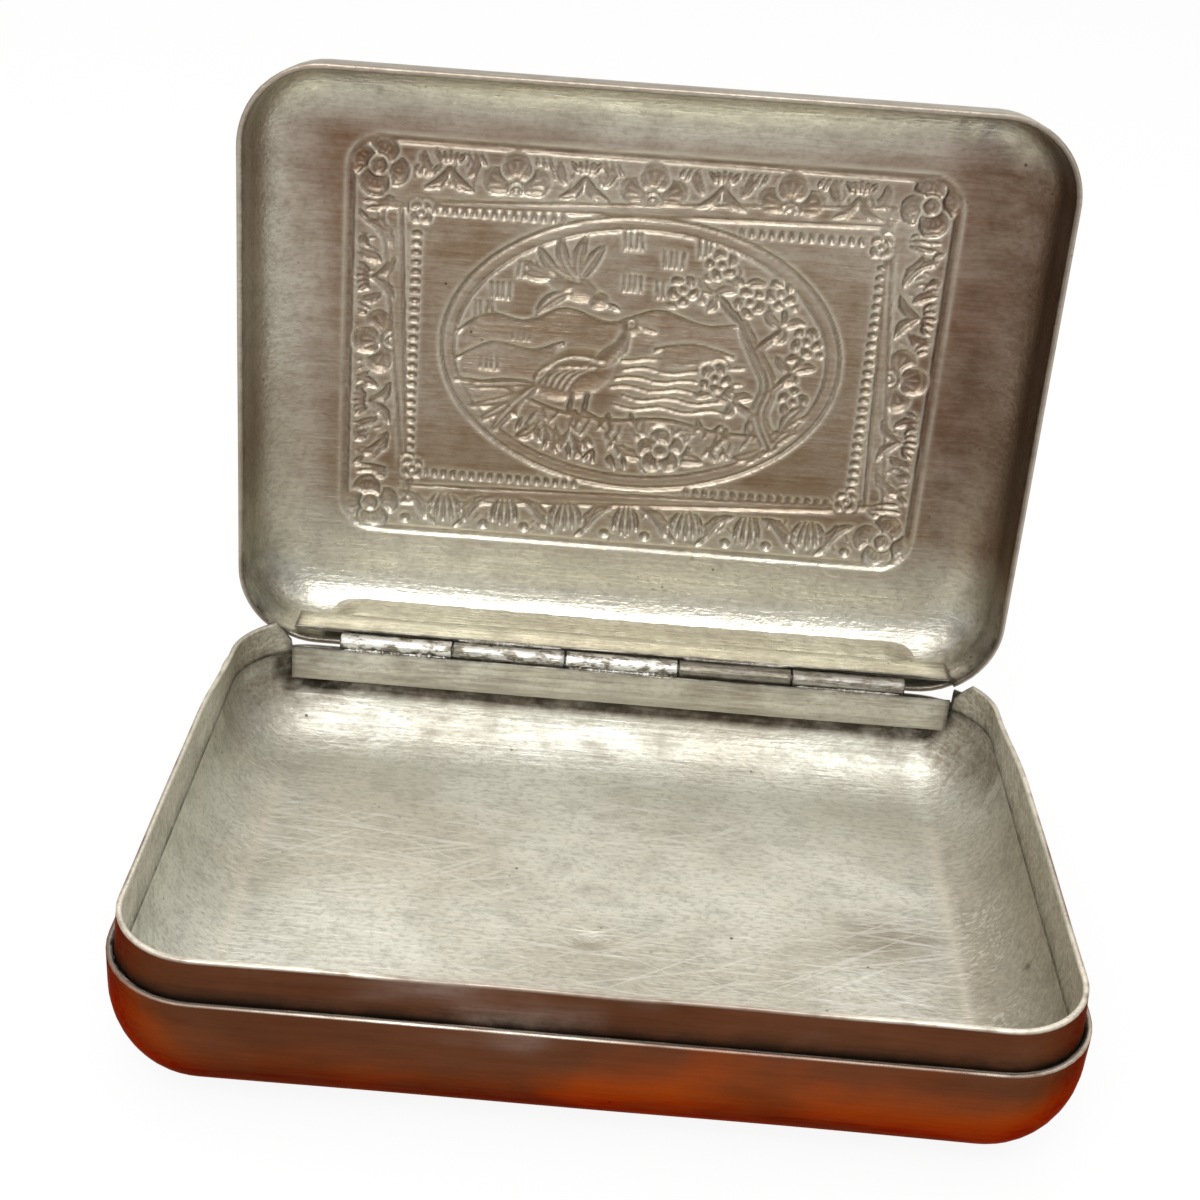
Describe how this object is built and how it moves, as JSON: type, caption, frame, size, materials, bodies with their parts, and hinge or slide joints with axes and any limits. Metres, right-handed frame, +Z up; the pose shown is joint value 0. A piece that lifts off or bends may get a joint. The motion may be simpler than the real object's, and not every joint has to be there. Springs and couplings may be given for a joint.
{
  "type": "hinged keepsake box",
  "caption": "Shallow rectangular silver box with rounded corners and edges, an inner collar that the lid slips over, and a knuckle-hinged lid with a framed oval panel, standing open.",
  "frame": {"origin": "centre of the flat foot, on the surface that the box stands on", "axes": "+Z up from the foot, +X along the hinge, -Y towards the front edge of the base"},
  "size_m": [0.1008, 0.0908, 0.0888],
  "materials": {
    "silver_base": "worn silver with fine scratches and light tarnish",
    "silver_lid": "worn silver with brown tarnish",
    "hinge_silver": "dull silver with dirt in the joints",
    "pin_metal": "dull drawn wire"
  },
  "bodies": {
    "base": {"base_pan": "silver_base", "base_collar": "silver_base", "base_hinge_strip": "hinge_silver", "base_knuckle_left": "hinge_silver", "base_knuckle_centre": "hinge_silver", "base_knuckle_right": "hinge_silver", "hinge_pin": "pin_metal"},
    "lid": {"lid_shell": "silver_lid", "lid_hinge_strip": "hinge_silver", "lid_knuckle_left": "hinge_silver", "lid_knuckle_right": "hinge_silver"}
  },
  "joints": [
    {"name": "lid_hinge", "type": "hinge", "parent": "base", "child": "lid", "pos_m": [0, 0.03675, 0.0142], "axis": [1, 0, 0], "range_deg": [0, 93.4]}
  ]
}
